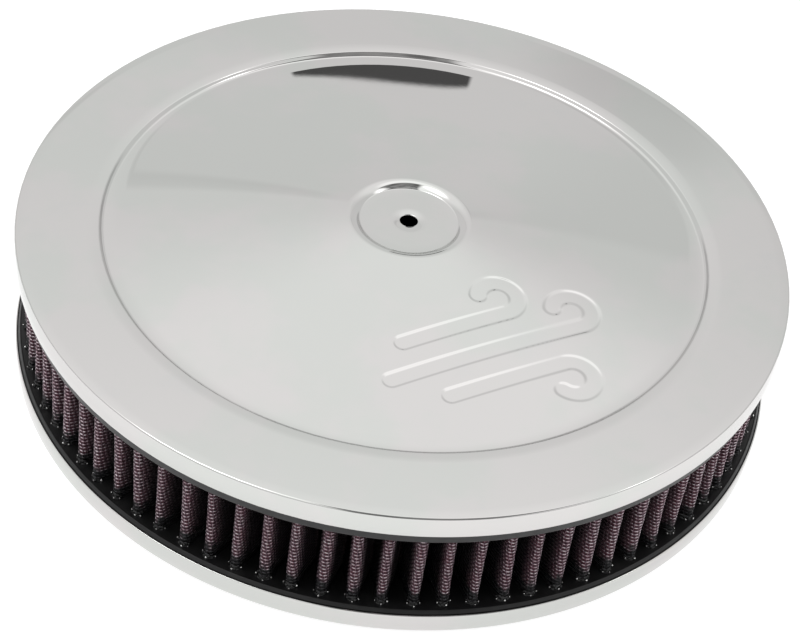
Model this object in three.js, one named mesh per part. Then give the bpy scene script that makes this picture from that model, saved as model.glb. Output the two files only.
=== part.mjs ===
// Round open-element air cleaner for a carburettor: a chromed steel lid, a pleated cotton gauze
// element with moulded end rings, and a chromed base pan with a raised carburettor neck.
// Millimetres, +Z up. The origin is on the axis, on the plane that the base pan stands on.
import * as THREE from 'three';

// ---- driving dimensions -------------------------------------------------------------------
const OUTER_RADIUS = 177.8;        // lid skirt and base rim, 14 inches across
const SHEET = 0.9;                 // steel sheet thickness
const GAP = 0.3;                   // clearance between pieces that touch
const ROUND_STEPS = 64;            // sides of every turned piece

const LID_TOP = 70.6;              // top of the lid's flat outer ring
const LID_SKIRT = 10.8;            // depth of the lid's turned-down edge
const LID_FOLD = 1.0;              // size of the fold between flat ring and skirt
const LID_FLAT_INNER = 147;        // inner edge of the flat outer ring
const LID_STEP_RADIUS = 138;       // foot of the step inside the flat ring
const LID_STEP_DEPTH = 2.1;
const LID_CREST_RADIUS = 29;       // crest of the shallow cone, around the centre recess
const LID_CREST_HEIGHT = 9;
const LID_RECESS_RADIUS = 22.8;    // flat seat at the centre
const LID_RECESS_HEIGHT = 6.9;     // seat height above the flat outer ring
const STUD_HOLE_RADIUS = 4.1;

const RING_OUTER = 176.4;          // moulded end rings
const RING_INNER = 148.5;
const RING_EDGE = 1.2;             // chamfer on each ring's outer corners
const UPPER_RING_BOTTOM = 55.6;
const LOWER_RING_TOP = 12.1;

const PLEATS = 84;
const PLEAT_OUTER = 173.7;         // outer tips, over the outer wire screen
const PLEAT_INNER = 151.5;         // inner tips, over the inner wire screen
const PLEAT_TIP = 2.6;             // width of a tip on the pack's middle surface
const SCREEN = 0.3;                // wire screen thickness
const PLY = 0.5;                   // cotton gauze ply thickness

const CLIP_SHEET = 0.5;            // seam clip over one inner pleat tip
const CLIP_REACH = 6;
const CLIP_WIDTH = 6.6;            // across the tip
const CLIP_SPREAD = 1.1;           // how far each leg leans out at its end

const RIM_HEIGHT = 10.3;           // base pan's turned-up rim
const BASE_FOLD = 1.0;
const BASE_FLAT_INNER = 147;       // inner edge of the seat that the element stands on
const BASE_STEP_RADIUS = 141;
const WEB_HEIGHT = 5;              // underside of the raised middle of the pan
const NECK_RADIUS = 65.6;          // inside of the raised neck, for a 130.2 mm air horn
const NECK_FILLET = 3;
const NECK_HEIGHT = 20;            // underside of the lip at the top of the neck
const NECK_OPENING = 59.5;         // throat inside that lip
const GASKET_SHEET = 1.6;
const GASKET_INNER = 60;
const GASKET_OUTER = 64.8;

// ---- materials ----------------------------------------------------------------------------
const chrome = new THREE.MeshStandardMaterial({ color: 0xc9cac8, roughness: 0.06, metalness: 1 });
const mouldedRubber = new THREE.MeshStandardMaterial({ color: 0x141414, roughness: 0.42, metalness: 0 });
const wire = new THREE.MeshStandardMaterial({ color: 0xa99a9c, roughness: 0.4, metalness: 0.8 });
const oiledGauze = new THREE.MeshStandardMaterial({ color: 0x6b1f2b, roughness: 0.85, metalness: 0 });
const clipMetal = new THREE.MeshStandardMaterial({ color: 0xb9bcbf, roughness: 0.35, metalness: 1 });
const gasketCork = new THREE.MeshStandardMaterial({ color: 0x2b2a28, roughness: 0.9, metalness: 0 });

// ---- shape helpers ------------------------------------------------------------------------
const point = (x, y) => new THREE.Vector2(x, y);

// The path moved sideways by a distance, to the right of its direction, with mitred corners.
function offsetPath(path, distance, closed = false) {
  const last = path.length - 1;
  return path.map((here, i) => {
    const before = i > 0 ? path[i - 1] : path[last];
    const after = i < last ? path[i + 1] : path[0];
    const arriving = here.clone().sub(before).normalize();
    const leaving = after.clone().sub(here).normalize();
    if (!closed && i === 0) arriving.copy(leaving);
    if (!closed && i === last) leaving.copy(arriving);
    const rightIn = point(arriving.y, -arriving.x);
    const rightOut = point(leaving.y, -leaving.x);
    const mitre = distance / (1 + rightIn.dot(rightOut));
    return here.clone().add(rightIn.add(rightOut).multiplyScalar(mitre));
  });
}

// A closed outline, listed anticlockwise as radius and height, turned about the Z axis.
function turned(outline) {
  const profile = outline.map(([radius, height]) => point(radius, height));
  profile.push(profile[0].clone());
  const geometry = new THREE.LatheGeometry(profile, ROUND_STEPS);
  return geometry.rotateX(Math.PI / 2);
}

// Sheet metal turned about the Z axis: the skin path from the middle outwards, and the
// sheet's thickness on the right-hand side of that path.
function turnedSheet(skin, thickness) {
  const path = skin.map(([radius, height]) => point(radius, height));
  const back = offsetPath(path, thickness);
  const outline = [...back, ...path.reverse()];
  return turned(outline.map((p) => [p.x, p.y]));
}

// ---- lid ----------------------------------------------------------------------------------
function lidGeometry() {
  const crest = LID_TOP + LID_CREST_HEIGHT;
  const seat = LID_TOP + LID_RECESS_HEIGHT;
  const stepFoot = LID_TOP - LID_STEP_DEPTH;
  const shoulder = 4;
  return turnedSheet([
    [STUD_HOLE_RADIUS, seat],
    [LID_RECESS_RADIUS, seat],
    [LID_CREST_RADIUS - shoulder, crest - 0.8],
    [LID_CREST_RADIUS, crest],
    [LID_CREST_RADIUS + shoulder, crest - 0.4],
    [LID_STEP_RADIUS, stepFoot],
    [LID_STEP_RADIUS + shoulder, LID_TOP - 0.8],
    [LID_FLAT_INNER, LID_TOP],
    [OUTER_RADIUS - LID_FOLD, LID_TOP],
    [OUTER_RADIUS, LID_TOP - LID_FOLD],
    [OUTER_RADIUS, LID_TOP - LID_SKIRT],
  ], SHEET);
}

// ---- filter element -----------------------------------------------------------------------
const packThickness = 2 * SCREEN + 2 * PLY + 3 * GAP;
const packBottom = LOWER_RING_TOP + GAP;
const packHeight = UPPER_RING_BOTTOM - LOWER_RING_TOP - 2 * GAP;

// The pack's middle surface seen from above, anticlockwise: flat tips joined by straight legs.
function pleatPath() {
  const outerMiddle = PLEAT_OUTER - packThickness / 2;
  const innerMiddle = PLEAT_INNER + packThickness / 2;
  const path = [];
  for (let i = 0; i < PLEATS; i += 1) {
    const outerAngle = (2 * Math.PI * i) / PLEATS;
    const innerAngle = outerAngle + Math.PI / PLEATS;
    for (const [radius, angle] of [[outerMiddle, outerAngle], [innerMiddle, innerAngle]]) {
      const along = point(-Math.sin(angle), Math.cos(angle)).multiplyScalar(PLEAT_TIP / 2);
      const tip = point(Math.cos(angle), Math.sin(angle)).multiplyScalar(radius);
      path.push(tip.clone().sub(along), tip.clone().add(along));
    }
  }
  return path;
}

// One pleated layer, between two distances from the pack's middle surface, outwards positive.
function layerGeometry(inside, outside) {
  const middle = pleatPath();
  const section = new THREE.Shape(offsetPath(middle, outside, true));
  section.holes.push(new THREE.Path(offsetPath(middle, inside, true)));
  const layer = new THREE.ExtrudeGeometry(section, { depth: packHeight, bevelEnabled: false });
  return layer.translate(0, 0, packBottom);
}

function ringGeometry(bottom, top) {
  return turned([
    [RING_INNER, bottom],
    [RING_OUTER - RING_EDGE, bottom],
    [RING_OUTER, bottom + RING_EDGE],
    [RING_OUTER, top - RING_EDGE],
    [RING_OUTER - RING_EDGE, top],
    [RING_INNER, top],
  ]);
}

// A U-shaped metal strip over one inner pleat tip, where the two ends of the pack meet.
function seamClipGeometry() {
  const half = CLIP_WIDTH / 2;
  const front = PLEAT_INNER - GAP - CLIP_SHEET;
  const path = [
    point(front + CLIP_REACH, -half - CLIP_SPREAD),
    point(front, -half),
    point(front, half),
    point(front + CLIP_REACH, half + CLIP_SPREAD),
  ];
  const inside = offsetPath(path, -CLIP_SHEET);
  const section = new THREE.Shape([...path, ...inside.reverse()]);
  const strip = new THREE.ExtrudeGeometry(section, { depth: packHeight, bevelEnabled: false });
  return strip.translate(0, 0, packBottom).rotateZ(Math.PI / PLEATS + Math.PI / 2);
}

// ---- base ---------------------------------------------------------------------------------
// The skin is the pan's upper side, from the throat outwards, with the sheet below it.
function basePanGeometry() {
  const floor = SHEET;
  const webTop = WEB_HEIGHT + SHEET;
  const lipTop = NECK_HEIGHT + SHEET;
  const neckOutside = NECK_RADIUS + SHEET;
  const rimInside = OUTER_RADIUS - SHEET;
  return turnedSheet([
    [NECK_OPENING, lipTop],
    [neckOutside - 0.8, lipTop],
    [neckOutside, lipTop - 0.8],
    [neckOutside, webTop + NECK_FILLET],
    [neckOutside + NECK_FILLET, webTop],
    [BASE_STEP_RADIUS, webTop],
    [BASE_FLAT_INNER, floor],
    [rimInside - BASE_FOLD, floor],
    [rimInside, floor + BASE_FOLD],
    [rimInside, RIM_HEIGHT],
  ], SHEET);
}

function gasketGeometry() {
  const top = NECK_HEIGHT - GAP;
  return turned([
    [GASKET_INNER, top - GASKET_SHEET],
    [GASKET_OUTER, top - GASKET_SHEET],
    [GASKET_OUTER, top],
    [GASKET_INNER, top],
  ]);
}

// ---- assembly -----------------------------------------------------------------------------
const airCleaner = new THREE.Group();

function addPiece(parent, name, geometry, material) {
  const piece = new THREE.Mesh(geometry, material);
  piece.name = name;
  parent.add(piece);
}

const base = new THREE.Group();
addPiece(base, 'base_pan', basePanGeometry(), chrome);
addPiece(base, 'neck_gasket', gasketGeometry(), gasketCork);

const element = new THREE.Group();
const screenFace = packThickness / 2;
const gauzeFace = screenFace - SCREEN - GAP;
addPiece(element, 'lower_end_ring', ringGeometry(SHEET + GAP, LOWER_RING_TOP), mouldedRubber);
addPiece(element, 'upper_end_ring', ringGeometry(UPPER_RING_BOTTOM, LID_TOP - SHEET - GAP), mouldedRubber);
addPiece(element, 'outer_wire_screen', layerGeometry(screenFace - SCREEN, screenFace), wire);
addPiece(element, 'outer_gauze_ply', layerGeometry(gauzeFace - PLY, gauzeFace), oiledGauze);
addPiece(element, 'inner_gauze_ply', layerGeometry(-gauzeFace, PLY - gauzeFace), oiledGauze);
addPiece(element, 'inner_wire_screen', layerGeometry(-screenFace, SCREEN - screenFace), wire);
addPiece(element, 'seam_clip', seamClipGeometry(), clipMetal);

const lid = new THREE.Group();
addPiece(lid, 'lid', lidGeometry(), chrome);

airCleaner.add(base, element, lid);

export default airCleaner;
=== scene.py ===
"""Looks of a round chrome air cleaner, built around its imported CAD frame.

Three bodies: the base pan with its neck gasket, the pleated filter element, and the lid.
Lengths below are in metres, and sizes in millimetres are multiplied by MM.
"""
import math

import bpy
import numpy as np
from mathutils import Matrix, Vector


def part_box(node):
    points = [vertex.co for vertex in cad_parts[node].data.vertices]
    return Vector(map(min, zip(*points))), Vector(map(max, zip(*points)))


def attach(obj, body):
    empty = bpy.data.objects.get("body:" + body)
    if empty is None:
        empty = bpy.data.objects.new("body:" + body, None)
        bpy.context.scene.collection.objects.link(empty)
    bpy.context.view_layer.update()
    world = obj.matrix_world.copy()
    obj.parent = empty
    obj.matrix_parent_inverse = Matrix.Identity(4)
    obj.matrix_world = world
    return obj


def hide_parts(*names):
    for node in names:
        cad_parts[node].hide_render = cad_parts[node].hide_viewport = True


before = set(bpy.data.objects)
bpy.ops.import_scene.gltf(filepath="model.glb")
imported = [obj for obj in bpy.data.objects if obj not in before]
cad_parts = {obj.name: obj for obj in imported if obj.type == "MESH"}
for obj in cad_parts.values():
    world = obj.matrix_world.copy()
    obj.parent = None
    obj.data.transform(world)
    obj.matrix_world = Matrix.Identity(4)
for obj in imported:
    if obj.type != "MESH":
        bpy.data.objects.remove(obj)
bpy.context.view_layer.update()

MM = 0.001

# ---- sizes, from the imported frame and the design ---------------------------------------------
lid_low, lid_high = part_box("lid")
lower_low, lower_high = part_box("lower_end_ring")
upper_low, upper_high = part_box("upper_end_ring")
pack_low, pack_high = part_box("outer_wire_screen")
gasket_low, gasket_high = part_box("neck_gasket")

RADIUS = lid_high.x
SHEET = 0.9 * MM

LID_SKIRT = 10.8 * MM
LID_TOP = lid_low.z + LID_SKIRT
STUD_HOLE_RADIUS = 4.1 * MM
SEAT_RADIUS = 22.8 * MM
SEAT_HEIGHT = LID_TOP + 6.9 * MM
SEAT_WALL_SLOPE = math.tan(math.radians(40))
CONE_SLOPE = 0.1037
CREST_RADIUS = 32 * MM
CREST_HEIGHT = lid_high.z - 0.4 * MM
CONE_APEX = CREST_HEIGHT + CONE_SLOPE * CREST_RADIUS  # where the cone would meet the axis
CONE_FOOT = 134.65 * MM

ROUND_STEPS = 288                      # sides of the turned rings and the base pan

RING_OUTER = lower_high.x
RING_INNER = 148.5 * MM
PLEATS = 84
PLEAT_OUTER = pack_high.x
PLEAT_INNER = 151.5 * MM
PACK_HALF = 1.25 * MM                  # half the CAD pack's thickness, screens included
TIP_BEND = 1.0 * MM                    # radius of the pack's middle surface at a tip
PLY_FACES = (0.08 * MM, 0.85 * MM)     # faces of a gauze ply, from the middle surface
THREAD_PITCH = 0.62 * MM
WIRE_PITCH = 2.0 * MM
WIRE_RADIUS = 0.22 * MM
WIRE_OFFSET = 1.2 * MM                 # level wires, from the middle surface
UPRIGHT_RADIUS = 0.13 * MM
UPRIGHT_OFFSET = 1.0 * MM

RIM_HEIGHT = 10.3 * MM
WEB_HEIGHT = 5 * MM
NECK_RADIUS = 65.6 * MM
NECK_HEIGHT = 20 * MM
NECK_OPENING = 59.5 * MM

# The badge pressed into the lid's cone: three breeze strokes with curled ends.
BADGE_ANGLE = math.radians(-57)
BADGE_RADIUS = 86 * MM
BADGE_STROKE = 3.9 * MM
BADGE_BEVEL = 1.3 * MM
BADGE_DEPTH = 0.32 * MM
BADGE_REACH = (47.5 * MM, 128.5 * MM)  # radii that the badge lies between
BADGE_SPREAD = (math.radians(-34.4), math.radians(38.8))  # angles, from BADGE_ANGLE

# Waves round the element that make its pleats uneven: size in mm, waves, phase and twist with height.
SIDEWAYS_WAVES = ((0.30, 31, 0.4, 1.3), (0.26, 53, 2.1, -1.9), (0.22, 76, 4.2, 2.6), (0.20, 9, 1.0, 0.0))
OUTWARD_WAVES = ((0.22, 41, 1.7, 2.2), (0.16, 67, 5.2, -3.1))


# ---- mesh helpers -----------------------------------------------------------------------------
def make_piece(name, vertices, faces, material, body, stands_for=()):
    """A smooth-shaded mesh piece that rides on a body and takes its finish from a slot."""
    mesh = bpy.data.meshes.new(name)
    mesh.from_pydata(np.asarray(vertices, float).tolist(), [], faces)
    mesh.validate()
    mesh.polygons.foreach_set("use_smooth", [True] * len(mesh.polygons))
    mesh.materials.append(material)
    piece = bpy.data.objects.new(name, mesh)
    bpy.context.scene.collection.objects.link(piece)
    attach(piece, body)
    if stands_for:
        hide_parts(*stands_for)
    return piece


def grid_faces(rows, columns, start=0, closed_rows=True):
    """Quads of a grid whose columns close on themselves, and whose rows may too."""
    last = rows if closed_rows else rows - 1
    row = np.arange(last)[:, None]
    column = np.arange(columns)[None, :]
    after_row = (row + 1) % rows
    after_column = (column + 1) % columns
    corners = [
        row * columns + column,
        after_row * columns + column,
        after_row * columns + after_column,
        row * columns + after_column,
    ]
    return (np.stack(corners, axis=-1).reshape(-1, 4) + start).tolist()


def unit(vectors):
    return vectors / np.linalg.norm(vectors, axis=-1, keepdims=True)


def rounded_path(corners, steps=5):
    """A path of (radius, height, fillet) corners with its corners turned into arcs."""
    points = []
    last = len(corners) - 1
    for i, (r, z, fillet) in enumerate(corners):
        here = np.array([r, z], float)
        if fillet <= 0 or i in (0, last):
            points.append(here)
            continue
        back = unit(np.array(corners[i - 1][:2]) - here)
        ahead = unit(np.array(corners[i + 1][:2]) - here)
        half = math.acos(max(-1.0, min(1.0, float(back @ ahead)))) / 2
        reach = fillet / math.tan(half)
        centre = here + unit(back + ahead) * fillet / math.sin(half)
        start = here + back * reach - centre
        end = here + ahead * reach - centre
        turn = math.atan2(start[0] * end[1] - start[1] * end[0], float(start @ end))
        for k in range(steps + 1):
            angle = turn * k / steps
            c, s = math.cos(angle), math.sin(angle)
            spoke = np.array([c * start[0] - s * start[1], s * start[0] + c * start[1]])
            points.append(centre + spoke)
    return np.array(points)


def divided(path, step):
    """The path with no stretch longer than step(radius)."""
    points = [path[0]]
    for a, b in zip(path[:-1], path[1:]):
        length = float(np.linalg.norm(b - a))
        parts = max(1, math.ceil(length / step((a[0] + b[0]) / 2)))
        points += [a + (b - a) * k / parts for k in range(1, parts + 1)]
    return np.array(points)


def path_normals(path):
    """Unit normals to the right of an open path's direction."""
    along = unit(np.diff(path, axis=0))
    along = unit(np.vstack([along[:1], along[:-1] + along[1:], along[-1:]]))
    return np.stack([along[:, 1], -along[:, 0]], axis=1)


def sheet_outline(path, thickness, back_step=None):
    """A closed outline of a sheet that follows the path, on its right, with half-round edges.

    With back_step, the far side keeps only one point in each such length."""
    normals = path_normals(path)
    back_path, back_normals = path, normals
    if back_step:
        lengths = np.linalg.norm(np.diff(path, axis=0), axis=1).cumsum()
        marks = np.flatnonzero(np.diff(np.floor(lengths / back_step))) + 1
        marks = np.unique([0, *marks, len(path) - 1])
        back_path, back_normals = path[marks], normals[marks]
    back = (back_path + back_normals * thickness)[::-1]
    half_turn = np.linspace(0, math.pi, 6)[1:-1]
    edges = []
    for start, end, side in (
        (path[-1], back[0], path[-1] - path[-2]),
        (back[-1], path[0], path[0] - path[1]),
    ):
        middle, across = (start + end) / 2, (start - end) / 2
        out = unit(side) * thickness / 2
        edges.append([middle + across * math.cos(a) + out * math.sin(a) for a in half_turn])
    return np.vstack([path, edges[0], back, edges[1]])


def turned(outline, angles):
    """Vertices and faces of a closed (radius, height) outline turned about Z."""
    r, z = outline[:, 0], outline[:, 1]
    c, s = np.cos(angles)[:, None], np.sin(angles)[:, None]
    vertices = np.stack([r * c, r * s, np.broadcast_to(z, (len(angles), len(z)))], axis=-1)
    return vertices.reshape(-1, 3), grid_faces(len(angles), len(outline))


def even_angles(count):
    return np.arange(count) * 2 * math.pi / count


def smooth_step(x):
    x = np.clip(x, 0, 1)
    return x * x * (3 - 2 * x)


# ---- material helpers -------------------------------------------------------------------------
class Nodes:
    """Short calls for building a node tree."""

    def __init__(self, tree):
        self.tree = tree
        tree.nodes.clear()

    def add(self, kind, inputs=None, **settings):
        node = self.tree.nodes.new(kind)
        for key, value in settings.items():
            setattr(node, key, value)
        for key, value in (inputs or {}).items():
            self.set(node.inputs[key], value)
        return node

    def set(self, socket, value):
        if isinstance(value, bpy.types.NodeSocket):
            self.tree.links.new(value, socket)
        else:
            socket.default_value = value

    def math(self, operation, a, b=0.0):
        return self.add("ShaderNodeMath", {0: a, 1: b}, operation=operation).outputs[0]

    def plus(self, a, b):
        return self.math("ADD", a, b)

    def minus(self, a, b):
        return self.math("SUBTRACT", a, b)

    def times(self, a, b):
        return self.math("MULTIPLY", a, b)

    def ramp(self, value, low, high, to_low=0.0, to_high=1.0):
        """value mapped smoothly from low..high to to_low..to_high."""
        ends = {"From Min": low, "From Max": high, "To Min": to_low, "To Max": to_high}
        return self.add(
            "ShaderNodeMapRange", {"Value": value, **ends}, interpolation_type="SMOOTHSTEP"
        ).outputs[0]

    def band(self, value, low, high, soft):
        """1 between low and high and 0 outside them, with soft edges."""
        rise = self.ramp(value, low - soft, low + soft)
        fall = self.ramp(value, high - soft, high + soft, 1.0, 0.0)
        return self.times(rise, fall)

    def split(self, vector):
        """The three coordinates of a vector."""
        return self.add("ShaderNodeSeparateXYZ", {0: vector}).outputs

    def mix(self, factor, a, b):
        node = self.add("ShaderNodeMix", data_type="RGBA")
        self.set(node.inputs[0], factor)
        self.set(node.inputs[6], a)
        self.set(node.inputs[7], b)
        return node.outputs[2]

    def noise(self, place, scale, detail=2.0, roughness=0.5):
        return self.add(
            "ShaderNodeTexNoise",
            {"Vector": place, "Scale": scale, "Detail": detail, "Roughness": roughness},
        ).outputs[0]

    def bump(self, height, distance, strength=1.0, normal=None):
        inputs = {"Height": height, "Distance": distance, "Strength": strength}
        if normal is not None:
            inputs["Normal"] = normal
        return self.add("ShaderNodeBump", inputs).outputs[0]


SOCKETS = {
    "colour": "Base Color",
    "metal": "Metallic",
    "roughness": "Roughness",
    "specular": "Specular IOR Level",
    "normal": "Normal",
}


def new_material(name):
    """A material with its node helper, its shader and the place on the object."""
    material = bpy.data.materials.new(name)
    material.use_nodes = True
    nodes = Nodes(material.node_tree)
    shader = nodes.add("ShaderNodeBsdfPrincipled")
    output = nodes.add("ShaderNodeOutputMaterial")
    nodes.tree.links.new(shader.outputs[0], output.inputs[0])
    place = nodes.add("ShaderNodeTexCoord").outputs["Object"]
    return material, nodes, shader, place


def polar(nodes, place):
    """(radius, angle, height) sockets of a place."""
    x, y, z = nodes.split(place)
    squares = nodes.plus(nodes.times(x, x), nodes.times(y, y))
    return nodes.math("SQRT", squares), nodes.math("ARCTAN2", y, x), z


def weave_map(nodes):
    """Sockets of a swept piece's own map: the place along the pleats, and across its outline."""
    along, across, _ = nodes.split(nodes.add("ShaderNodeUVMap", uv_map="weave").outputs[0])
    return along, across


def set_surface(nodes, shader, **values):
    """Give the shader's sockets their values or links; each name is the socket's, in plain words."""
    for name, value in values.items():
        nodes.set(shader.inputs[SOCKETS[name]], value)


# ---- materials --------------------------------------------------------------------------------
def chrome_material(name, haze):
    """Mirror chrome over pressed sheet: faint tint blotches, buffing marks and a soft ripple.

    haze is the roughness of its deepest buffing marks."""
    cool, warm, dull = (0.616, 0.626, 0.606, 1), (0.643, 0.63, 0.622, 1), (0.607, 0.61, 0.607, 1)
    material, nodes, shader, place = new_material(name)
    radius, angle, _ = polar(nodes, place)
    blotches = nodes.ramp(nodes.noise(place, 12.0, 4.0, 0.6), 0.44, 0.58)
    dullness = nodes.ramp(nodes.noise(place, 28.0, 4.0, 0.6), 0.55, 0.8, 0.0, 0.5)
    rings = nodes.add("ShaderNodeCombineXYZ", {0: nodes.times(radius, 900.0), 1: nodes.times(angle, 3.0)})
    buffing = nodes.ramp(nodes.noise(rings.outputs[0], 1.0, 3.0, 0.7), 0.3, 0.8, haze * 0.5, haze)
    smudges = nodes.ramp(nodes.noise(place, 16.0, 5.0, 0.65), 0.5, 0.8, 0.0, haze * 0.7)
    ripple = nodes.bump(nodes.noise(place, 14.0, 1.0), 0.014 * MM)
    set_surface(
        nodes, shader,
        colour=nodes.mix(dullness, nodes.mix(blotches, cool, warm), dull),
        metal=1.0,
        roughness=nodes.plus(buffing, smudges),
        normal=nodes.bump(nodes.noise(place, 420.0, 2.0), 0.0003 * MM, 1.0, ripple),
    )
    return material


def polyurethane_material(name, low_roughness, high_roughness):
    """Soft black moulded polyurethane: near-black skin, mould grain and a dusty bloom."""
    skin, dusty = (0.0075, 0.0075, 0.0078, 1), (0.016, 0.016, 0.016, 1)
    material, nodes, shader, place = new_material(name)
    bloom = nodes.ramp(nodes.noise(place, 70.0, 5.0, 0.65), 0.5, 0.75)
    sheen = nodes.noise(place, 240.0, 3.0)
    grain = nodes.bump(nodes.noise(place, 2600.0, 2.0), 0.02 * MM, 0.5)
    set_surface(
        nodes, shader,
        colour=nodes.mix(bloom, skin, dusty),
        roughness=nodes.ramp(sheen, 0.3, 0.75, low_roughness, high_roughness),
        specular=0.4,
        normal=nodes.bump(nodes.noise(place, 120.0, 2.0), 0.2 * MM, 0.5, grain),
    )
    return material


def potted_share(nodes, place):
    """0 on clean media and 1 where liquid polyurethane has crept up or down the pleats."""
    upper_delay, softness = 4.5 * MM, 2.2 * MM
    _, _, z = polar(nodes, place)
    reach = nodes.ramp(nodes.noise(place, 260.0, 3.0, 0.6), 0.3, 0.7, 4.0 * MM, 9.5 * MM)
    above = nodes.minus(z, lower_high.z)
    below = nodes.minus(upper_low.z, z)
    nearest = nodes.math("MINIMUM", above, nodes.plus(below, upper_delay))
    return nodes.ramp(nodes.minus(nearest, reach), -softness, softness, 1.0, 0.0)


def painted_lit_share(nodes, place):
    """1 on the pleat tips and little in the valleys: painted shade, darkening the media between the
    pleats.
    """
    radius, _, _ = polar(nodes, place)
    outer = nodes.ramp(radius, PLEAT_OUTER - 8.5 * MM, PLEAT_OUTER - 1.5 * MM, 0.07, 1.0)
    inner = nodes.ramp(radius, PLEAT_INNER + 1.0 * MM, PLEAT_INNER + 7.0 * MM, 0.6, 0.0)
    return nodes.math("MAXIMUM", outer, inner)


def gauze_material():
    """Oiled cotton gauze: an open weave of fine threads, darker where the oil has pooled."""
    oiled, pooled, hole = (0.088, 0.017, 0.032, 1), (0.045, 0.01, 0.02, 1), (0.01, 0.003, 0.005, 1)
    # The first colour below is painted shade, deep in the valleys between the pleats.
    painted_valley_shade, potting = (0.003, 0.001, 0.0015, 1), (0.004, 0.004, 0.0045, 1)
    material, nodes, shader, place = new_material("oiled_gauze")
    along, across = weave_map(nodes)
    per_thread = 2 * math.pi / THREAD_PITCH
    warp = nodes.math("SINE", nodes.times(along, per_thread))
    weft = nodes.math("SINE", nodes.times(across, per_thread))
    cloth = nodes.math("MAXIMUM", warp, weft)
    fuzz = nodes.noise(place, 2400.0, 4.0, 0.7)
    pools = nodes.ramp(nodes.noise(place, 150.0, 4.0, 0.6), 0.35, 0.7)
    threads = nodes.mix(nodes.ramp(cloth, -0.6, 0.8), hole, nodes.mix(pools, oiled, pooled))
    # Painted shade: the media darkens from the pleat tips into the valleys.
    media = nodes.mix(painted_lit_share(nodes, place), painted_valley_shade, threads)
    potted = potted_share(nodes, place)
    set_surface(
        nodes, shader,
        colour=nodes.mix(potted, media, potting),
        roughness=nodes.ramp(potted, 0.0, 1.0, 0.72, 0.3),
        normal=nodes.bump(nodes.plus(nodes.times(cloth, 0.5), fuzz), 0.12 * MM, 0.7),
    )
    shader.inputs["Sheen Weight"].default_value = 0.05
    shader.inputs["Sheen Roughness"].default_value = 0.4
    return material


def wire_material(name, bright, stained, woven):
    """Clear-coated wire, tinted by the filter oil and blackened where it is potted.

    A woven wire dips under the wires that cross it, shown by a bump and by painted shade that darkens it
    there."""
    # The second colour below is painted shade, deep in the valleys between the pleats.
    potting, painted_valley_shade, dip_shade_tint = (0.075, 0.075, 0.08, 1), (0.006, 0.004, 0.005, 1), (0.3, 0.26, 0.29)
    material, nodes, shader, place = new_material(name)
    stain = nodes.ramp(nodes.noise(place, 260.0, 4.0, 0.6), 0.35, 0.7)
    potted = potted_share(nodes, place)
    tint = nodes.mix(potted, nodes.mix(stain, bright, stained), potting)
    # Painted shade: the wire darkens from the pleat tips into the valleys.
    tint = nodes.mix(painted_lit_share(nodes, place), painted_valley_shade, tint)
    normal = nodes.bump(nodes.noise(place, 1900.0, 2.0), 0.03 * MM, 0.5)
    if woven:
        along, level = weave_map(nodes)
        crossings = nodes.plus(along, nodes.times(level, 0.22))
        wave = nodes.math("SINE", nodes.times(crossings, 2 * math.pi))
        # Painted shade: the wire is darkened where it dips under a crossing wire.
        dip_shaded = nodes.add("ShaderNodeVectorMath", {0: tint, 1: dip_shade_tint}, operation="MULTIPLY").outputs[0]
        tint = nodes.mix(nodes.ramp(wave, -0.75, 0.25), dip_shaded, tint)
        normal = nodes.bump(wave, 0.1 * MM, 0.6, normal)
    set_surface(
        nodes, shader,
        colour=tint,
        metal=nodes.ramp(potted, 0.0, 1.0, 0.95, 0.7),
        roughness=nodes.ramp(nodes.noise(place, 900.0, 2.0), 0.3, 0.7, 0.28, 0.42),
        normal=normal,
    )
    return material


def wire_end_material():
    """Cut ends of the screen's wires, bright where the cutter left them and dulled in spots."""
    cut, dulled = (0.95, 0.95, 0.94, 1), (0.45, 0.43, 0.43, 1)
    material, nodes, shader, place = new_material("wire_ends")
    spots = nodes.ramp(nodes.noise(place, 800.0, 3.0), 0.4, 0.65)
    set_surface(
        nodes, shader,
        colour=nodes.mix(spots, cut, dulled),
        metal=1.0,
        roughness=nodes.ramp(spots, 0.0, 1.0, 0.18, 0.4),
        normal=nodes.bump(spots, 0.04 * MM, 0.5),
    )
    return material


def clip_material():
    """Folded aluminium strip, mill finish with draw lines along it."""
    dark, pale = (0.62, 0.63, 0.64, 1), (0.78, 0.79, 0.8, 1)
    material, nodes, shader, place = new_material("clip_aluminium")
    drawn = nodes.add("ShaderNodeMapping", {"Vector": place, "Scale": (1400.0, 1400.0, 30.0)}).outputs[0]
    lines = nodes.noise(drawn, 1.0, 3.0)
    set_surface(
        nodes, shader,
        colour=nodes.mix(lines, dark, pale),
        metal=1.0,
        roughness=nodes.ramp(lines, 0.3, 0.7, 0.28, 0.45),
        normal=nodes.bump(lines, 0.03 * MM, 0.5),
    )
    return material


def gasket_material():
    """Die-cut black gasket sheet with fine cork-and-rubber granules."""
    granule, binder = (0.03, 0.028, 0.025, 1), (0.012, 0.012, 0.012, 1)
    material, nodes, shader, place = new_material("gasket_sheet")
    cells = nodes.add("ShaderNodeTexVoronoi", {"Vector": place, "Scale": 900.0})
    tone = nodes.ramp(cells.outputs["Distance"], 0.1, 0.6)
    set_surface(
        nodes, shader,
        colour=nodes.mix(tone, granule, binder),
        roughness=nodes.ramp(tone, 0.0, 1.0, 0.9, 0.7),
        normal=nodes.bump(tone, 0.1 * MM, 0.6),
    )
    return material


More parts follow.
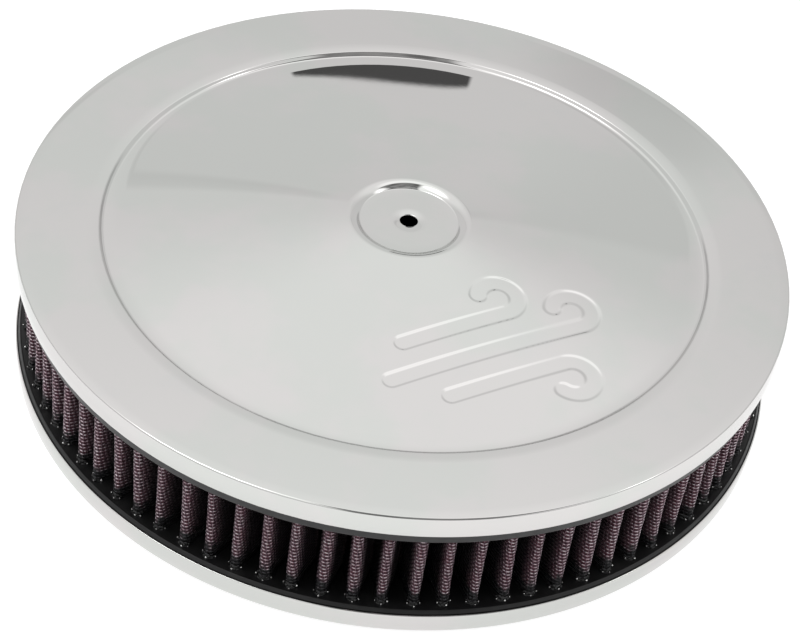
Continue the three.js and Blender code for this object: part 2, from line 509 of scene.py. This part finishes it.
def floor_material():
    """A white sweep that glows as painted light, so that it stays white right up to the object; under the
    object the glow fades out, a painted shadow.
    """
    material, nodes, shader, place = new_material("studio_floor")
    mottle = nodes.noise(place, 3.0, 3.0)
    radius, _, _ = polar(nodes, place)
    set_surface(
        nodes, shader,
        colour=nodes.mix(mottle, (0.38, 0.38, 0.38, 1), (0.4, 0.4, 0.4, 1)),
        roughness=0.9,
        specular=0.2,
    )
    shader.inputs["Emission Color"].default_value = (1, 1, 1, 1)
    # Painted light: the floor glows, and under the object its glow fades to nothing, a painted shadow.
    nodes.set(shader.inputs["Emission Strength"], nodes.ramp(radius, 150 * MM, RADIUS, 0.0, 0.78))
    return material


# ---- lid --------------------------------------------------------------------------------------
def badge_distance(u, v):
    """Distance to the middle line of the badge's strokes, in the badge's own plane."""
    strokes = (  # start, end and level of the straight part, curl radius, side that it curls to
        (-38, 14, 17, 9, 1),
        (-52, 43, 0, 9, 1),
        (-32, 24, -17, 9, -1),
    )
    curl_start, curl_end = -math.pi / 2, math.radians(150)
    nearest = np.full(np.shape(u), 1.0)
    for start, end, level, curl, side in strokes:
        a, b, y, r = start * MM, end * MM, level * MM, curl * MM
        line = np.hypot(u - np.clip(u, a, b), v - y)
        centre_y = y + side * r
        turn = np.arctan2((v - centre_y) * side, u - b)
        reach = np.clip(turn, curl_start, curl_end)
        reach = np.where(turn < curl_start - 0.5, curl_end, reach)
        arc = np.hypot(u - b - r * np.cos(reach), (v - centre_y) - side * r * np.sin(reach))
        nearest = np.minimum(nearest, np.minimum(line, arc))
    return nearest


def badge_relief(vertices):
    """How far the badge lowers each vertex of the lid."""
    across = Vector((-math.sin(BADGE_ANGLE), math.cos(BADGE_ANGLE)))
    outward = Vector((math.cos(BADGE_ANGLE), math.sin(BADGE_ANGLE)))
    x, y = vertices[:, 0], vertices[:, 1]
    u = x * across.x + y * across.y
    v = BADGE_RADIUS - (x * outward.x + y * outward.y)
    inside = (BADGE_STROKE + BADGE_BEVEL / 2 - badge_distance(u, v)) / BADGE_BEVEL
    return BADGE_DEPTH * smooth_step(inside)


def lid_angles():
    """Fine steps across the badge, coarser steps round the rest of the lid."""
    start, end = (BADGE_ANGLE + spread for spread in BADGE_SPREAD)
    fine = np.linspace(start, end, 230)
    coarse = np.linspace(end, start + 2 * math.pi, 94)
    return np.concatenate([fine, coarse[1:-1]])


def build_lid(material):
    """Pressed sheet: a seat round the stud hole, a shallow cone, a step, a flat ring and a skirt.

    The cone has shorter stretches beside its bends, which keep the bends' shading off its flanks."""
    fine_step, coarse_step, underside_step = 0.5 * MM, 5 * MM, 3 * MM
    badge_low, badge_high = BADGE_REACH

    def on_cone(radius, fillet=0):
        return radius, CONE_APEX - CONE_SLOPE * radius, fillet

    crest = (CONE_APEX - SEAT_HEIGHT + SEAT_WALL_SLOPE * SEAT_RADIUS) / (SEAT_WALL_SLOPE + CONE_SLOPE)
    _, foot_height, _ = on_cone(CONE_FOOT)
    path = rounded_path([
        (STUD_HOLE_RADIUS + SHEET / 2, SEAT_HEIGHT, 0),
        (SEAT_RADIUS, SEAT_HEIGHT, 1.0 * MM),
        on_cone(crest, 7 * MM),                                # the rounded crest round the seat
        on_cone(crest + 3.5 * MM),
        on_cone(badge_low),
        on_cone(badge_high),
        on_cone(CONE_FOOT - 3.8 * MM),
        on_cone(CONE_FOOT, 64 * MM),                           # the soft bend into the step
        (CONE_FOOT + 4.25 * MM, foot_height, 1.9 * MM),
        (CONE_FOOT + 5.7 * MM, LID_TOP - 0.3 * MM, 1.0 * MM),
        (CONE_FOOT + 10.4 * MM, LID_TOP, 50 * MM),             # the flat ring starts
        (RADIUS, LID_TOP, 0.95 * MM),
        (RADIUS, lid_low.z + SHEET / 2, 0),                    # the skirt's edge
    ], steps=8)
    path = divided(path, lambda r: fine_step if badge_low < r < badge_high else coarse_step)
    vertices, faces = turned(sheet_outline(path, SHEET, underside_step), lid_angles())
    vertices[:, 2] -= badge_relief(vertices)
    return make_piece("chrome_lid", vertices, faces, material, "lid", ["lid"])


# ---- filter element ---------------------------------------------------------------------------
def pack_section(outer_steps, inner_steps, leg_points):
    """Middle line of the pleated pack seen from above, with its outward normals.

    A pleat has that many steps round its outer and inner tips, and points along each leg."""
    half_pitch = math.pi / PLEATS
    outer_centre = np.array([PLEAT_OUTER - PACK_HALF - TIP_BEND, 0.0])
    inner_distance = PLEAT_INNER + PACK_HALF + TIP_BEND
    inner_centre = inner_distance * np.array([math.cos(half_pitch), math.sin(half_pitch)])
    between = inner_centre - outer_centre
    lean = math.acos(2 * TIP_BEND / float(np.linalg.norm(between)))
    going = math.atan2(between[1], between[0]) - lean
    returning = 2 * half_pitch - going
    points, normals = [], []

    def toward(angle):
        return np.array([math.cos(angle), math.sin(angle)])

    def bend(centre, reach, angles):
        for a in angles:
            points.append(centre + reach * toward(a))
            normals.append(toward(a))

    def leg(start, end, normal):
        for k in range(1, leg_points + 1):
            points.append(start + (end - start) * k / (leg_points + 1))
            normals.append(normal)

    bend(outer_centre, TIP_BEND, np.linspace(-going, going, outer_steps + 1))
    leg(points[-1], inner_centre - TIP_BEND * toward(going), toward(going))
    bend(inner_centre, -TIP_BEND, np.linspace(going, returning, inner_steps + 1))
    next_tip = outer_centre[0] * toward(2 * half_pitch) + TIP_BEND * toward(returning)
    leg(points[-1], next_tip, toward(returning))
    angles = even_angles(PLEATS)[:, None]
    c, s = np.cos(angles), np.sin(angles)

    def all_round(one_pleat):
        x, y = np.array(one_pleat).T
        return np.stack([c * x - s * y, s * x + c * y], axis=-1).reshape(-1, 2)

    return all_round(points), all_round(normals)


def hand_made(vertices):
    """The small unevenness of real pleats: each leans, bows and stands out a little differently."""
    bow, inset = 0.25, 0.35                # in mm, like the waves
    vertices = np.array(vertices, float)
    x, y, z = vertices.T
    angle = np.arctan2(y, x)
    height = (z - pack_low.z) / (pack_high.z - pack_low.z)

    def waves(terms):
        return sum(
            size * np.sin(count * angle + phase + twist * height) for size, count, phase, twist in terms
        )

    outward = waves(OUTWARD_WAVES) - bow * (4 * height * (1 - height)) - inset
    radius = np.hypot(x, y) + outward * MM
    turned_angle = angle + waves(SIDEWAYS_WAVES) * MM / radius
    vertices[:, 0] = radius * np.cos(turned_angle)
    vertices[:, 1] = radius * np.sin(turned_angle)
    return vertices


def swept_ring(section, normals, outline):
    """Vertices of a closed (offset, height) outline swept round the pack's middle line.

    outline is one (offset, height) list for all points, or one for each point."""
    outline = np.asarray(outline, float)
    if outline.ndim == 2:
        outline = np.broadcast_to(outline, (len(section), *outline.shape))
    flat = section[:, None, :] + normals[:, None, :] * outline[:, :, :1]
    return np.concatenate([flat, outline[:, :, 1:]], axis=-1)


def path_lengths(points):
    steps = np.linalg.norm(np.roll(points, -1, axis=0) - points, axis=1)
    return np.concatenate([[0], steps.cumsum()])


def build_ply(name, inside, outside, material, stands_for):
    """One gauze ply as a closed pleated sheet, with a weave map along and up the cloth."""
    section, normals = pack_section(8, 8, 2)
    potted = 0.4 * MM
    levels = np.linspace(lower_high.z - potted, upper_low.z + potted, 7)
    outline = [(outside, z) for z in levels] + [(inside, z) for z in levels[::-1]]
    vertices = hand_made(swept_ring(section, normals, outline).reshape(-1, 3))
    faces = grid_faces(len(section), len(outline))
    piece = make_piece(name, vertices, faces, material, "element", stands_for)
    heights = np.array([z for _, z in outline])
    map_weave(piece, len(outline), path_lengths(section), lambda corners: heights[corners % len(outline)])
    cloth_length = float(path_lengths(section + normals * (inside + outside) / 2)[-1])
    return piece


def weave_places(line):
    """Distance along a closed pleated line at each point, counted in wire pitches."""
    along = path_lengths(line)
    count = 2 * round(along[-1] / WIRE_PITCH / 2)
    return along / along[-1] * count, count


def map_weave(piece, outline_count, along, across):
    """Give a swept piece a map of its place along the pleats and across its outline."""
    weave = piece.data.uv_layers.new(name="weave")
    corners = np.zeros(len(piece.data.loops), int)
    piece.data.loops.foreach_get("vertex_index", corners)
    ring = corners // outline_count
    rings = len(along) - 1
    # The last face of each ring ends at the full length, though its vertices are the first ones.
    first = np.repeat(ring.reshape(-1, 4)[:, 0], 4)
    u = along[np.where((ring % rings == 0) & (first % rings == rings - 1), rings, ring % rings)]
    weave.data.foreach_set("uv", np.stack([u, across(corners)], axis=1).ravel())


def wire_levels():
    count = int((pack_high.z - pack_low.z) / WIRE_PITCH)
    first = (pack_low.z + pack_high.z) / 2 - WIRE_PITCH * (count - 1) / 2
    return [first + WIRE_PITCH * k for k in range(count)]


def build_round_wires(name, offset, steps, sides, material, stands_for):
    """The screen's level wires, each following every pleat round the element.

    steps are those of pack_section, and sides is how many sides a wire has."""
    section, normals = pack_section(*steps)
    ring = [(math.cos(a), math.sin(a)) for a in even_angles(sides) + math.pi / 4]
    row_size = len(section) * sides
    vertices, faces = [], []
    for z in wire_levels():
        outline = [(offset + WIRE_RADIUS * c, z + WIRE_RADIUS * s) for c, s in ring]
        faces += grid_faces(len(section), sides, start=row_size * len(vertices))
        vertices.append(swept_ring(section, normals, outline).reshape(-1, 3))
    vertices = hand_made(np.concatenate(vertices))
    piece = make_piece(name, vertices, faces, material, "element", stands_for)
    along, _ = weave_places(section + normals * offset)
    map_weave(piece, sides, along, lambda corners: corners // row_size)
    return piece


def build_upright_wires(name, offset, material):
    """The screen's upright wires, spaced evenly along the pleated line."""
    section, normals = pack_section(8, 8, 2)
    line = section + normals * offset
    along, count = weave_places(line)
    places = np.arange(count) + 0.5
    closed_line = np.vstack([line, line[:1]])
    closed_normals = np.vstack([normals, normals[:1]])
    centre = np.stack([np.interp(places, along, closed_line[:, k]) for k in range(2)], axis=1)
    out = unit(np.stack([np.interp(places, along, closed_normals[:, k]) for k in range(2)], axis=1))
    side = np.stack([-out[:, 1], out[:, 0]], axis=1)
    potted = 0.3 * MM
    levels = np.linspace(lower_high.z - potted, upper_low.z + potted, 4)
    corners = ((1, 0), (0, 1), (-1, 0), (0, -1))
    sides = len(corners)
    vertices, faces = [], []
    for i in range(count):
        start = len(vertices)
        for z in levels:
            for a, b in corners:
                x, y = centre[i] + (a * out[i] + b * side[i]) * UPRIGHT_RADIUS
                vertices.append((x, y, z))
        faces += [f[::-1] for f in grid_faces(len(levels), sides, start, closed_rows=False)]
        foot, head = range(start, start + sides), range(len(vertices) - sides, len(vertices))
        faces += [list(reversed(foot)), list(head)]
    return make_piece(name, hand_made(vertices), faces, material, "element")


def build_potting(name, side, base, up, material):
    """Polyurethane drawn up the pleats by capillary action where they stand in an end ring.

    side is 1 outside the pack or -1 inside it; up is 1 on the lower ring or -1 on the upper."""
    section, normals = pack_section(8, 4, 1)
    radius = np.hypot(section[:, 0], section[:, 1])
    angle = np.arctan2(section[:, 1], section[:, 0])
    middle = (PLEAT_OUTER + PLEAT_INNER) / 2
    depth = side * (radius - middle) / (PLEAT_OUTER - PLEAT_INNER)
    tip = smooth_step((depth + 0.1) / 0.5)
    along = path_lengths(section)[:-1]
    lump_pitch = 2.7 * MM
    lump_phase = 2 * math.pi * along / lump_pitch + 1.6 * np.sin(61 * angle + 2.0 * up)
    lump = 0.5 + 0.5 * np.sin(lump_phase)
    uneven = 1 + 0.22 * np.sin(47 * angle + side) + 0.18 * np.sin(73 * angle + 2.0 * up)
    width = (0.2 + 0.15 * tip + 0.25 * lump * tip) * MM
    height = (0.9 + 0.5 * tip + 0.8 * lump * tip) * uneven * MM
    face, root, sunk = 1.42 * MM, 0.9 * MM, 0.5 * MM

    def rib(away, level):
        """One point of the outline at every point of the section."""
        away, level = np.broadcast_arrays(side * away, base + up * level, width)[:2]
        return np.stack([away, level], axis=1)

    outline = [
        rib(face + width * (1 - math.cos(phi)), height * (1 - math.sin(phi)))
        for phi in np.linspace(0, math.pi / 2, 5)
    ]
    outline += [rib(face + width, -sunk), rib(root, -sunk), rib(root, height)]
    vertices = hand_made(swept_ring(section, normals, np.stack(outline, axis=1)).reshape(-1, 3))
    faces = grid_faces(len(section), len(outline))
    if side * up < 0:
        faces = [f[::-1] for f in faces]
    return make_piece(name, vertices, faces, material, "element")


def bead_ball(rings, spokes):
    """Vertices and faces of a small ball: rings of points between two poles."""
    latitudes = np.linspace(-math.pi / 2, math.pi / 2, rings + 2)[1:-1]
    longitudes = even_angles(spokes)
    c, s = np.cos(latitudes)[:, None], np.sin(latitudes)[:, None]
    ball = np.stack([c * np.cos(longitudes), c * np.sin(longitudes), s + 0 * longitudes], axis=-1)
    ball = np.vstack([ball.reshape(-1, 3), [[0, 0, -1], [0, 0, 1]]])
    low, high = len(ball) - 2, len(ball) - 1
    top = (rings - 1) * spokes
    shell = [f[::-1] for f in grid_faces(rings, spokes, closed_rows=False)]
    shell += [[low, (k + 1) % spokes, k] for k in range(spokes)]
    shell += [[high, top + k, top + (k + 1) % spokes] for k in range(spokes)]
    return ball, shell


def build_beads(name, bearings, sizes, reaches, material):
    """Small beads at the foot of every outer pleat tip, at bearings round the tip."""
    ball, shell = bead_ball(5, 9)
    chance = np.random.default_rng(7)
    vertices, faces = [], []
    for turn in even_angles(PLEATS):
        tip = (PLEAT_OUTER - PACK_HALF - TIP_BEND) * np.array([math.cos(turn), math.sin(turn)])
        for side in bearings:
            bearing = turn + side + chance.uniform(-0.25, 0.25)
            size = chance.uniform(*sizes) * MM
            reach = TIP_BEND + PACK_HALF + chance.uniform(*reaches) * MM
            x, y = tip + reach * np.array([math.cos(bearing), math.sin(bearing)])
            z = lower_high.z + chance.uniform(0.0, 1.0) * MM
            stretch = np.array([size, size, size * chance.uniform(0.9, 1.7)])
            faces += [[v + len(ball) * len(vertices) for v in f] for f in shell]
            vertices.append(ball * stretch + np.array([x, y, z]))
    return make_piece(name, hand_made(np.concatenate(vertices)), faces, material, "element")


def build_lower_ring(material):
    """Moulded ring with a bead that fills the pan's rim and a small shelf that the pleats stand on."""
    top, bottom = lower_high.z, lower_low.z
    bead = RING_OUTER + 0.36 * MM
    shelf = top - 0.12 * MM
    corners = [
        (RING_INNER, bottom, 0),
        (RING_OUTER, bottom, 1.6 * MM),
        (RING_OUTER, RIM_HEIGHT - 4 * MM, 1.0 * MM),
        (bead, RIM_HEIGHT - 2 * MM, 1.0 * MM),
        (bead, RIM_HEIGHT + 0.2 * MM, 0.5 * MM),
        (RING_OUTER - 0.6 * MM, top, 0.3 * MM),
        (RING_OUTER - 1.2 * MM, shelf, 0.3 * MM),
        (RING_INNER + 1.0 * MM, shelf, 0.9 * MM),
        (RING_INNER, top - 1.2 * MM, 0.9 * MM),
        (RING_INNER, bottom, 0),
    ]
    vertices, faces = turned(rounded_path(corners, steps=5)[:-1], even_angles(ROUND_STEPS))
    return make_piece("lower_potting_ring", vertices, faces, material, "element",
                      ["lower_end_ring"])


def build_upper_ring(material):
    """Flat sealing face with two low ribs on top, and a plain moulded wall outside."""
    top, bottom = upper_high.z, upper_low.z - 1.0 * MM
    face = top - 0.5 * MM
    rib_foot, rib_crown = 1.9 * MM, 0.9 * MM
    corners = [(RING_INNER, bottom, 0), (RING_OUTER, bottom, 0.9 * MM), (RING_OUTER, face, 1.4 * MM)]
    for middle in (170.5 * MM, 154.5 * MM):
        corners += [
            (middle + rib_foot, face, 0.5 * MM),
            (middle + rib_crown, top, 0.6 * MM),
            (middle - rib_crown, top, 0.6 * MM),
            (middle - rib_foot, face, 0.5 * MM),
        ]
    corners += [(RING_INNER, face, 1.2 * MM), (RING_INNER, bottom, 0)]
    vertices, faces = turned(rounded_path(corners, steps=5)[:-1], even_angles(ROUND_STEPS))
    return make_piece("upper_potting_ring", vertices, faces, material, "element",
                      ["upper_end_ring"])


def build_seam_clip(material):
    """A folded strip that grips the two joined ends of the pack at one inner pleat tip."""
    low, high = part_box("seam_clip")
    half, reach, spread, fold = 3.0 * MM, 6 * MM, 1.1 * MM, 1.1 * MM
    strip, crimp_depth = 0.45 * MM, 0.16 * MM
    rows, rows_per_crimp = 57, 8
    front = PLEAT_INNER - 0.6 * MM
    path = rounded_path([
        (front + reach, -half - spread, 0),
        (front, -half, fold),
        (front, half, fold),
        (front + reach, half + spread, 0),
    ], steps=6)
    outline = sheet_outline(path, -strip)
    levels = np.linspace(low.z, high.z, rows)
    crimp = crimp_depth * (1 - np.cos(2 * math.pi * np.arange(rows) / rows_per_crimp)) / 2
    turn = math.pi / PLEATS
    outward = np.array([math.cos(turn), math.sin(turn)])
    across = np.array([-math.sin(turn), math.cos(turn)])
    vertices = []
    for z, pinch in zip(levels, crimp):
        for r, t in outline:
            flat = r * outward + (t - math.copysign(pinch, t)) * across
            vertices.append((*flat, z))
    count = len(outline)
    faces = grid_faces(rows, count, closed_rows=False)
    faces.append(list(range(count)))
    faces.append(list(range(len(vertices) - 1, len(vertices) - count - 1, -1)))
    return make_piece("pleat_seam_clip", hand_made(vertices), faces, material, "element",
                      ["seam_clip"])


# ---- base -------------------------------------------------------------------------------------
def build_base_pan(material):
    """Pressed sheet: the neck's lip and wall, a raised web, the flat seat and a turned-up rim."""
    floor = SHEET
    web = WEB_HEIGHT + SHEET
    lip = NECK_HEIGHT + SHEET
    neck = NECK_RADIUS + SHEET
    rim = RADIUS - SHEET
    path = rounded_path([
        (NECK_OPENING + SHEET / 2, lip, 0),
        (neck, lip, 1.6 * MM),
        (neck, web, 3 * MM),
        (140.5 * MM, web, 3 * MM),
        (147.5 * MM, floor, 3 * MM),
        (rim, floor, 1.1 * MM),
        (rim, RIM_HEIGHT - SHEET / 2, 0),
    ], steps=7)
    outline = sheet_outline(divided(path, lambda r: 8 * MM), SHEET)
    vertices, faces = turned(outline, even_angles(ROUND_STEPS))
    return make_piece("chrome_base_pan", vertices, faces, material, "base", ["base_pan"])


def build_gasket(material):
    """Flat ring with slightly eased edges; its outline starts halfway up the inner wall."""
    inner, outer = 60 * MM, gasket_high.x
    low, high = gasket_low.z, gasket_high.z
    start = (inner, (low + high) / 2, 0)
    edge = 0.25 * MM
    walls = [(inner, low, edge), (outer, low, edge), (outer, high, edge), (inner, high, edge)]
    vertices, faces = turned(rounded_path([start, *walls, start], steps=3)[:-1], even_angles(160))
    return make_piece("neck_gasket_ring", vertices, faces, material, "base",
                      ["neck_gasket"])


# ---- studio -----------------------------------------------------------------------------------
# In the world's light, azimuth 0 is straight behind the object as the camera sees it, elevation 0
# is level, and both are in degrees.
DEGREES = 180 / math.pi
FLAG_DEPTH = 0.89
HORIZON_DEPTH = 0.3
LAMPS = (                              # direction, degrees from its middle to its edge, power
    ((-0.37, 0.02, 0.93), 9.0, 2.6),
    ((0.69, -0.02, 0.72), 5.0, 4.5),
)


def wall_light(nodes, azimuth, elevation):
    """The studio's walls: brighter higher up, with a faint seam, a patch and a dimmer right side."""
    light = nodes.ramp(elevation, 34.8, 36.4, 0.85, 0.9)
    light = nodes.plus(light, nodes.ramp(elevation, 36.0, 52.0, 0.0, 0.2))
    light = nodes.plus(light, nodes.ramp(elevation, 56.0, 66.0, 0.0, 0.3))
    seam = nodes.times(nodes.band(elevation, 34.6, 36.0, 0.4), nodes.band(azimuth, -60.0, -12.0, 1.0))
    patch = nodes.times(nodes.band(elevation, 34.0, 37.0, 0.8), nodes.band(azimuth, 3.0, 9.0, 2.0))
    light = nodes.minus(light, nodes.times(seam, 0.06))
    light = nodes.minus(light, nodes.times(patch, 0.12))
    right_side = nodes.ramp(azimuth, 5.0, 14.0)
    return nodes.minus(light, nodes.times(right_side, nodes.ramp(elevation, 38.0, 48.0, 0.045, 0.0)))


def flag_share(nodes, azimuth, elevation):
    """1 on a dark flag low behind the object, whose top edge bows up towards the left."""
    left = nodes.math("MINIMUM", azimuth, 0.0)
    bow = nodes.times(nodes.times(left, left), 0.0205)
    over = nodes.minus(elevation, nodes.plus(bow, 24.2))
    flag = nodes.times(nodes.ramp(over, -0.1, 0.1, 1.0, 0.0), nodes.ramp(over, -7.5, -7.0))
    return nodes.times(flag, nodes.band(azimuth, -8.0, 1.57, 0.15))


def gap_share(nodes, direction):
    """How dark each direction is in a gap overhead, towards the camera."""
    x, y, z = nodes.split(direction)
    gap = nodes.times(nodes.band(x, -0.11, 0.54, 0.05), nodes.ramp(y, 0.1, 0.2, 1.0, 0.0))
    gap = nodes.times(gap, nodes.ramp(z, 0.1, 0.3))
    mottle = nodes.noise(direction, 4.0, 3.0)
    depth = nodes.plus(nodes.ramp(mottle, 0.38, 0.62, 0.74, 0.93), nodes.ramp(y, -0.5, -0.1, -0.1, 0.0))
    return nodes.times(gap, depth)


def lamp_light(nodes, direction, toward, edge, power):
    """A round lamp whose edge is that many degrees from its middle, with a soft glow round it."""
    dot = nodes.add("ShaderNodeVectorMath", {0: direction, 1: toward}, operation="DOT_PRODUCT")
    aside = nodes.times(nodes.math("ARCCOSINE", dot.outputs["Value"]), DEGREES)
    glow = nodes.ramp(aside, edge, edge + 9.0, 0.7, 0.0)
    core = nodes.ramp(aside, edge - 2.0, edge + 2.5, power, 0.0)
    return nodes.plus(glow, core)


def build_world():
    """A soft white studio, with a dark flag, a dark gap and two lamps for the chrome to reflect."""
    world = bpy.data.worlds.new("studio")
    world.use_nodes = True
    bpy.context.scene.world = world
    nodes = Nodes(world.node_tree)
    direction = nodes.add("ShaderNodeTexCoord").outputs["Generated"]
    x, y, z = nodes.split(direction)
    elevation = nodes.times(nodes.math("ARCSINE", z), DEGREES)
    azimuth = nodes.times(nodes.math("ARCTAN2", x, y), DEGREES)
    strength = wall_light(nodes, azimuth, elevation)
    flag = nodes.times(flag_share(nodes, azimuth, elevation), FLAG_DEPTH)
    gap = gap_share(nodes, direction)
    horizon = nodes.times(nodes.band(elevation, -6.0, 10.0, 3.0), HORIZON_DEPTH)
    for dark in (flag, gap, horizon):
        strength = nodes.times(strength, nodes.minus(1.0, dark))
    for toward, edge, power in LAMPS:
        strength = nodes.plus(strength, lamp_light(nodes, direction, toward, edge, power))
    background = nodes.add("ShaderNodeBackground", {"Color": (1.0, 1.0, 1.0, 1), "Strength": strength})
    output = nodes.add("ShaderNodeOutputWorld")
    nodes.tree.links.new(background.outputs[0], output.inputs[0])


def add_softbox(name, azimuth, elevation, distance, size, power):
    """A square light that faces the object from a direction; azimuth 0 is in front of it."""
    a, e = math.radians(azimuth), math.radians(elevation)
    away = Vector((math.sin(a) * math.cos(e), -math.cos(a) * math.cos(e), math.sin(e)))
    data = bpy.data.lights.new(name, "AREA")
    data.shape = "SQUARE"
    data.size = size
    data.energy = power
    lamp = bpy.data.objects.new(name, data)
    lamp.location = Vector((0, 0, LID_TOP)) + away * distance
    lamp.rotation_euler = (-away).to_track_quat("-Z", "Y").to_euler()
    lamp.visible_camera = False
    lamp.visible_glossy = False
    bpy.context.scene.collection.objects.link(lamp)


def build_floor(material):
    """A wide flat grid, a little below the object so that the two share no plane."""
    half, count, drop = 6.0, 24, 0.2 * MM
    line = np.linspace(-half, half, count + 1)
    vertices = [(x, y, -drop) for x in line for y in line]
    row = count + 1
    starts = [i * row + j for i in range(count) for j in range(count)]
    faces = [[a, a + row, a + row + 1, a + 1] for a in starts]
    mesh = bpy.data.meshes.new("studio_floor")
    mesh.from_pydata(vertices, [], faces)
    mesh.materials.append(material)
    floor = bpy.data.objects.new("studio_floor", mesh)
    bpy.context.scene.collection.objects.link(floor)


def build_camera():
    """A long lens in front of the object, tipped down at the lid and rolled a little.

    Its numbers were solved from the rims of the lid and the base in the photo."""
    tilt, roll = math.radians(42.11), math.radians(8.42)
    place = Vector((8.77 * MM, -784.1 * MM, LID_TOP + 654.0 * MM))
    forward = Vector((0, math.cos(tilt), -math.sin(tilt)))
    side = Vector((1, 0, 0))
    up = Vector((0, math.sin(tilt), math.cos(tilt)))
    right = side * math.cos(roll) + up * math.sin(roll)
    top = up * math.cos(roll) - side * math.sin(roll)
    data = bpy.data.cameras.new("camera")
    data.sensor_width = 36.0
    data.lens = 99.93
    data.shift_x = -0.0165
    data.shift_y = 0.0014
    camera = bpy.data.objects.new("camera", data)
    turn = Matrix((right, top, -forward)).transposed().to_4x4()
    camera.matrix_world = Matrix.Translation(place) @ turn
    bpy.context.scene.collection.objects.link(camera)
    bpy.context.scene.camera = camera


# ---- assembly ---------------------------------------------------------------------------------
build_camera()

lid_chrome = chrome_material("lid_chrome", 0.015)
pan_chrome = chrome_material("pan_chrome", 0.05)
polyurethane = polyurethane_material("polyurethane", 0.3, 0.45)
wet_polyurethane = polyurethane_material("wet_polyurethane", 0.14, 0.2)
gauze = gauze_material()
round_wire = wire_material("round_wire", (0.85, 0.76, 0.8, 1), (0.62, 0.44, 0.5, 1), True)
# The upright wires take a darker copy of the level wires' finish, as painted shade.
upright_wire = wire_material("upright_wire", (0.27, 0.18, 0.21, 1), (0.16, 0.09, 0.12, 1), False)
wire_ends = wire_end_material()
clip_metal = clip_material()
gasket_sheet = gasket_material()

build_lid(lid_chrome)
build_base_pan(pan_chrome)
build_gasket(gasket_sheet)
build_lower_ring(polyurethane)
build_upper_ring(polyurethane)
near, far = PLY_FACES
build_ply("outer_gauze", near, far, gauze, ["outer_gauze_ply"])
build_ply("inner_gauze", -far, -near, gauze, ["inner_gauze_ply"])
build_round_wires(
    "outer_screen_round_wires", WIRE_OFFSET, (7, 3, 0), 4, round_wire, ["outer_wire_screen"]
)
build_upright_wires("outer_screen_upright_wires", UPRIGHT_OFFSET, upright_wire)
build_round_wires(
    "inner_screen_round_wires", -WIRE_OFFSET, (3, 6, 0), 3, round_wire, ["inner_wire_screen"]
)
build_upright_wires("inner_screen_upright_wires", -UPRIGHT_OFFSET, upright_wire)
for side, side_name in ((1, "outer"), (-1, "inner")):
    build_potting(f"lower_{side_name}_potting", side, lower_high.z - 0.12 * MM, 1, wet_polyurethane)
    build_potting(f"upper_{side_name}_potting", side, upper_low.z - 0.5 * MM, -1, wet_polyurethane)
build_beads(
    "potting_beads", bearings=(-1.45, -0.6, 0.55, 1.4), sizes=(0.45, 0.85), reaches=(0.1, 0.35),
    material=wet_polyurethane,
)
build_beads(
    "wire_ends", bearings=(-1.25, 0.1, 1.3), sizes=(0.28, 0.48), reaches=(0.7, 0.9),
    material=wire_ends,
)
build_seam_clip(clip_metal)

build_floor(floor_material())
build_world()
add_softbox("left_softbox", azimuth=-90, elevation=68, distance=1.7, size=0.65, power=3.0)
add_softbox("right_softbox", azimuth=92, elevation=49, distance=1.7, size=0.6, power=3.0)
bpy.context.scene.view_settings.view_transform = "Standard"
